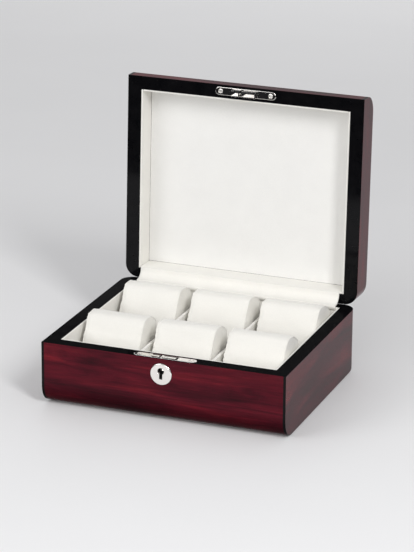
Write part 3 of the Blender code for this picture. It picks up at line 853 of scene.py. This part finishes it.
def build_hinge_cloth(suede):
    """The cloth web over the hinges, hanging in a shallow curve from lid to base."""
    low, high = [[v / MM for v in corner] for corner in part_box("hinge_cloth")]
    radius = high[2] - low[2] - 1.5
    top = (high[1] - 0.35, high[2])
    bottom_z = low[2] + WEB_LIFT
    line = [top]
    line += arc((top[0] - 0.5 - radius, bottom_z + radius), radius, 0, -90, 22)
    line += arc((low[1] + 0.2, bottom_z - WEB_TURN), WEB_TURN, 90, 180, 6)
    line += [(low[1] - 1.0, bottom_z - WEB_TAIL)]
    bm = bmesh.new()
    rows = []
    for k, (y, z) in enumerate(line):
        share = k / (len(line) - 1)
        slack = math.sin(math.pi * share)
        row = []
        for i in range(WEB_COLUMNS + 1):
            x = low[0] + (high[0] - low[0]) * i / WEB_COLUMNS
            ripple = WEB_RIPPLE * slack * noise.noise(Vector((x / 16, share * 1.5, 3.0)))
            row.append(bm.verts.new((x * MM, (y - ripple) * MM, (z + ripple) * MM)))
        rows.append(row)
    for a, b in zip(rows, rows[1:]):
        for i in range(WEB_COLUMNS):
            bm.faces.new((a[i], a[i + 1], b[i + 1], b[i]))
    made = link("hinge_cloth_web", mesh_from("web", bm))
    step = made.modifiers.new("thickness", "SOLIDIFY")
    step.thickness = WEB_THICKNESS * MM
    step.offset = 0
    settle(made)
    made.data.shade_smooth()
    made.data.materials.clear()
    made.data.materials.append(suede)
    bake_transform(made)
    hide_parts("hinge_cloth")


# ---------------------------------------------------------------- cushions

def cushion_section(inset):
    """A cushion from the side, in Y and Z: a roll that leans back."""
    low, high = node_box("cushion_front_middle")
    foot, top = low[2], high[2]
    points = [
        (8, top - 0.2), (1.5, top - 3.5), (-2.5, top - 9), (-6.5, top - 16), (-10.5, top - 23),
        (-14.5, top - 30), (-18, top - 38), (-19.5, top - 48), (-19, foot + 13), (-14, foot + 3),
        (-4, foot), (10, foot), (28, foot), (38, foot + 4), (41.5, foot + 14), (41.7, top - 34),
        (40.5, top - 20), (35, top - 9), (23, top - 2),
    ]
    heart = Vector((CUSHION_LEAN, (foot + top) / 2))
    outline = []
    for y, z in closed_curve(points, 6):
        away = (Vector((y, z)) - heart).normalized()
        outline.append((y - away.x * inset, z - away.y * inset))
    return outline


def closed_curve(points, steps):
    """A smooth closed curve through points (Catmull-Rom)."""
    curve = []
    count = len(points)
    for i in range(count):
        a, b, c, d = (Vector(points[(i + k - 1) % count]) for k in range(4))
        for j in range(steps):
            t = j / steps
            point = 0.5 * ((2 * b) + (c - a) * t + (2 * a - 5 * b + 4 * c - d) * t * t
                           + (3 * b - a - 3 * c + d) * t ** 3)
            curve.append((point.x, point.y))
    return curve


def stuffed(name, outline, half):
    """The cushion's cloth pushed out by its stuffing: a short cloth simulation under pressure."""
    made = link(name, prism(name, outline, "x", -half, half))
    remesh = made.modifiers.new("remesh", "REMESH")
    remesh.mode = "VOXEL"
    remesh.voxel_size = CUSHION_VOXEL * MM
    settle(made)
    before = [v.co.copy() for v in made.data.vertices]
    cloth = made.modifiers.new("cloth", "CLOTH")
    cloth.settings.use_pressure = True
    cloth.settings.uniform_pressure_force = 4.0
    cloth.settings.effector_weights.gravity = 0.0
    cloth.settings.quality = 5
    cloth.settings.tension_stiffness = 30
    cloth.settings.compression_stiffness = 30
    cloth.settings.shear_stiffness = 20
    cloth.settings.bending_stiffness = 2.0
    cloth.point_cache.frame_end = SIM_FRAMES
    scene = bpy.context.scene
    for step in range(1, SIM_FRAMES + 1):
        scene.frame_set(step)
    settle(made)
    scene.frame_set(1)
    limit = CUSHION_PUFF * MM
    for vertex, start in zip(made.data.vertices, before):
        moved = vertex.co - start
        if moved.length > limit:
            vertex.co = start + moved.normalized() * limit
    return made


def uneven(point, seed):
    """A small offset that makes each cushion's cloth lie a little differently."""
    broad = noise.noise(point / (26 * MM) + seed) * 0.7
    crease = noise.noise(Vector((point.x / (22 * MM), point.y / (7 * MM), point.z / (7 * MM))) - seed)
    return (broad + 0.28 * crease) * MM


def stuffed_master(outline, half):
    """The stuffed cushion that all six share, and its surface for placing the piping."""
    body = stuffed("stuffing", outline, half)
    finer = body.modifiers.new("finer", "SUBSURF")
    finer.levels = 1
    finer.render_levels = 1
    settle(body)
    master = body.data.copy()
    bpy.data.objects.remove(body, do_unlink=True)
    bm = bmesh.new()
    bm.from_mesh(master)
    surface = BVHTree.FromBMesh(bm)
    bm.free()
    return master, surface


def piping_path(outline, sign, half, heart_z, surface, seed, shift):
    """Where the piping runs: the cushion's outline, laid on the stuffed surface."""
    path = []
    for y, z in outline:
        corner = Vector((sign * half * MM, y * MM, z * MM))
        outward = corner + Vector((sign * 2, 0, 0)) * MM
        away = Vector((0, y - CUSHION_LEAN, z - heart_z)).normalized()
        spot, normal = surface.find_nearest(outward + away * 2 * MM)[:2]
        lift = uneven(spot, seed) + 0.15 * MM
        path.append(spot + normal * lift + shift)
    return path


def build_cushions(suede):
    """Six cushions from one stuffed shape, each with its own unevenness and piping."""
    outline = cushion_section(CUSHION_PUFF * 0.8)
    low, high = node_box("cushion_front_middle")
    half = (high[0] - low[0]) / 2 - 0.8
    master, surface = stuffed_master(outline, half)
    places = [(row, column) for row in ("front", "rear") for column in ("left", "middle", "right")]
    for number, (row, column) in enumerate(places, 1):
        node = f"cushion_{row}_{column}"
        at_low, at_high = node_box(node)
        shift = Vector((middle(at_low, at_high, 0), middle(at_low, at_high, 1) - CUSHION_LEAN, 0)) * MM
        seed = Vector((number * 7.3, number * 3.1, number * 5.7))
        mesh = master.copy()
        offsets = [v.normal * uneven(v.co, seed) + shift for v in mesh.vertices]
        for vertex, offset in zip(mesh.vertices, offsets):
            vertex.co = vertex.co + offset
        made = link(node + "_cloth", mesh)
        made.data.shade_smooth()
        finish_piece(made, suede, node, [node])
        for side, sign in (("left", -1), ("right", 1)):
            path = piping_path(outline, sign, half, middle(low, high, 2), surface, seed, shift)
            seam = tube(f"{node}_piping_{side}", path, PIPING_RADIUS)
            finish_piece(seam, suede, node, ())


def tube(name, path, radius, sides=8):
    """A closed cord along a closed path."""
    count = len(path)
    bm = bmesh.new()
    rings = []
    for i, point in enumerate(path):
        along = (path[(i + 1) % count] - path[i - 1]).normalized()
        across = along.cross(Vector((1, 0, 0))).normalized()
        other = along.cross(across).normalized()
        ring = []
        for k in range(sides):
            angle = 2 * math.pi * k / sides
            offset = (across * math.cos(angle) + other * math.sin(angle)) * radius * MM
            ring.append(bm.verts.new(point + offset))
        rings.append(ring)
    for i in range(count):
        a, b = rings[i], rings[(i + 1) % count]
        for k in range(sides):
            m = (k + 1) % sides
            bm.faces.new((a[k], a[m], b[m], b[k]))
    made = link(name, mesh_from(name, bm))
    made.data.shade_smooth()
    return made


# ---------------------------------------------------------------- studio

def build_stage(finish):
    """A pale table top that ends a little in front of the box."""
    extent = rectangle((-TABLE_HALF_WIDTH, TABLE_FRONT), (TABLE_HALF_WIDTH, TABLE_REAR))
    floor = link("floor", prism("floor", extent, "z", -20, -0.05))
    floor.data.materials.append(finish)


def area_light(name, place, target, size, power):
    """A rectangular softbox that faces its target."""
    light = bpy.data.lights.new(name, "AREA")
    light.shape = "RECTANGLE"
    light.size, light.size_y = size
    light.energy = power
    made = bpy.data.objects.new(name, light)
    bpy.context.scene.collection.objects.link(made)
    made.location = place
    made.rotation_euler = (Vector(target) - Vector(place)).to_track_quat("-Z", "Y").to_euler()


def build_lights():
    """A tall softbox at the upper right, fills at the left and in front, a light on the far floor."""
    area_light("key_softbox", (1.4, -1.3, 1.62), (0, 0, 0.12), (0.45, 0.9), 25)
    area_light("fill_softbox", (-1.5, -1.9, 1.2), (0, 0, 0.1), (1.4, 1.2), 18)
    area_light("front_softbox", (0.3, -2.7, 0.75), (0, 0, 0.15), (1.2, 0.8), 13)
    area_light("floor_softbox", (-0.5, 1.95, 0.75), (-0.5, 1.95, 0), (1.8, 0.5), 2.6)


def build_world():
    """A pale room above the horizon and a dark one below it."""
    world = bpy.data.worlds.new("studio")
    world.use_nodes = True
    tree = world.node_tree
    direction = tree.nodes.new("ShaderNodeTexCoord")
    split = tree.nodes.new("ShaderNodeSeparateXYZ")
    ramp = tree.nodes.new("ShaderNodeValToRGB")
    tree.links.new(direction.outputs["Generated"], split.inputs[0])
    tree.links.new(split.outputs["Z"], ramp.inputs[0])
    tree.links.new(ramp.outputs["Color"], tree.nodes["Background"].inputs["Color"])
    below, above = ramp.color_ramp.elements
    below.position = 0.02
    below.color = (0.02, 0.02, 0.022, 1)
    above.position = 0.30
    above.color = (0.90, 0.90, 0.91, 1)
    zenith = ramp.color_ramp.elements.new(1.0)
    zenith.color = (0.66, 0.66, 0.67, 1)
    tree.nodes["Background"].inputs["Strength"].default_value = 0.70
    bpy.context.scene.world = world


def build_camera():
    """A long lens, a little above and to the right of the front."""
    camera = bpy.data.cameras.new("camera")
    camera.lens = 180.7
    camera.sensor_width = 36
    camera.sensor_fit = "AUTO"
    camera.clip_end = 20
    made = bpy.data.objects.new("camera", camera)
    bpy.context.scene.collection.objects.link(made)
    place = Vector((0.9518, -2.4811, 1.0379))
    target = Vector((0.0052, 0.0, 0.1200))
    look = (target - place).to_track_quat("-Z", "Y").to_matrix().to_4x4()
    roll = Matrix.Rotation(math.radians(0.398), 4, "Z")
    made.matrix_world = Matrix.Translation(place) @ look @ roll
    bpy.context.scene.camera = made


def finish_plain_nodes(steel, nickel, felt):
    """Nodes that show their own solid: the lock's inside and the felt."""
    for node, finish in (("lock_case", steel), ("lock_bolt", steel), ("lock_key_post", nickel),
                         ("base_felt", felt)):
        bpy.data.objects[node].data.materials.clear()
        bpy.data.objects[node].data.materials.append(finish)


def main():
    build_camera()
    suede = suede_material("cream_suede", (0.86, 0.843, 0.795))
    panel_suede = suede_material("panel_suede", (0.86, 0.852, 0.83))
    nickel = nickel_material("polished_nickel", 0.045)
    satin = nickel_material("satin_nickel", 0.22)
    steel = steel_material()
    # one black lacquer in two copies: the base's copy has its reflection all but taken away and the lid's
    # keeps a strong one, so the darker base rims are shade set into the material
    base_lacquer_shaded_copy = lacquer_material("black_lacquer", 1.025)
    lid_lacquer = lacquer_material("black_lacquer_lid", 1.22)
    build_case(veneer_material(), base_lacquer_shaded_copy, lid_lacquer)
    build_escutcheon(nickel)
    build_plates(nickel, satin)
    build_screws(satin)
    build_hinges(steel)
    build_linings(suede, panel_suede)
    build_hinge_cloth(suede)
    build_cushions(suede)
    finish_plain_nodes(steel, nickel, felt_material())
    build_stage(floor_material())
    build_lights()
    build_world()
    bpy.context.scene.view_settings.view_transform = "Standard"


main()
